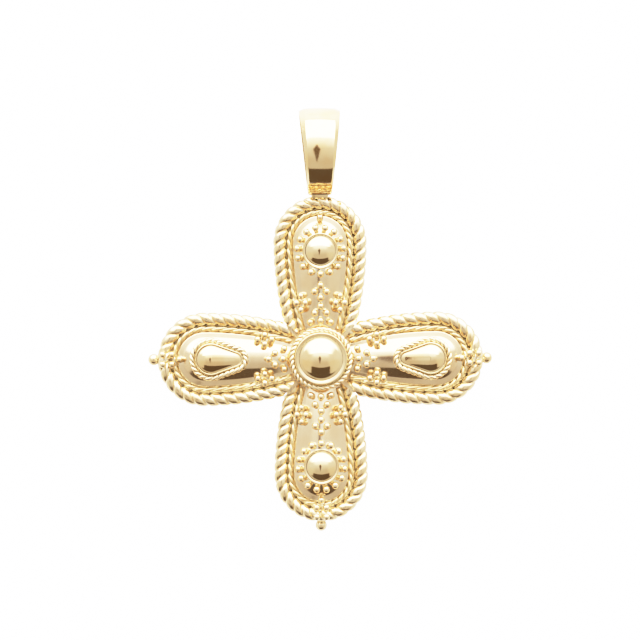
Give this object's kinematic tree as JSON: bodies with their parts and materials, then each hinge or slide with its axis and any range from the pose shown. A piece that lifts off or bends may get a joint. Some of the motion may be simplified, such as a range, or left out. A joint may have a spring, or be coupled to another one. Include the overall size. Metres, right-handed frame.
{
  "type": "cross pendant",
  "caption": "Equal-armed cross pendant with domed petal arms, twisted rope borders, raised round and teardrop bosses, granule clusters and a tapered bail.",
  "frame": {"origin": "centre of the cross on its flat back face", "axes": "+Z out of the front, +Y towards the bail"},
  "size_m": [0.0414, 0.0509, 0.0069],
  "materials": {
    "polished_gold": "mirror polished pale yellow gold plate",
    "petal_gold": "polished pale yellow gold plate",
    "granule_gold": "polished pale yellow gold plate",
    "rope_gold": "polished yellow gold plate, deeper in the twists",
    "inner_gold": "polished yellow gold plate, deep colour in the gutter",
    "back_gold": "fine satin yellow gold plate"
  },
  "bodies": {
    "root": {"back_plate": "back_gold", "top_petal": "petal_gold", "bottom_petal": "petal_gold", "left_petal": "petal_gold", "right_petal": "petal_gold", "top_rope": "rope_gold", "bottom_rope": "rope_gold", "left_rope": "rope_gold", "right_rope": "rope_gold", "top_inner_wire": "inner_gold", "bottom_inner_wire": "inner_gold", "left_inner_wire": "inner_gold", "right_inner_wire": "inner_gold", "centre_bezel": "polished_gold", "centre_boss": "polished_gold", "centre_wire": "rope_gold", "top_bezel": "polished_gold", "top_boss": "polished_gold", "top_beads": "granule_gold", "bottom_bezel": "polished_gold", "bottom_boss": "polished_gold", "bottom_beads": "granule_gold", "left_bezel": "polished_gold", "left_boss": "polished_gold", "left_wire": "rope_gold", "right_bezel": "polished_gold", "right_boss": "polished_gold", "right_wire": "rope_gold", "top_granules": "granule_gold", "bottom_granules": "granule_gold", "left_granules": "granule_gold", "right_granules": "granule_gold", "left_tip": "granule_gold", "right_tip": "granule_gold", "bottom_tip": "granule_gold", "bail": "polished_gold"}
  },
  "joints": []
}
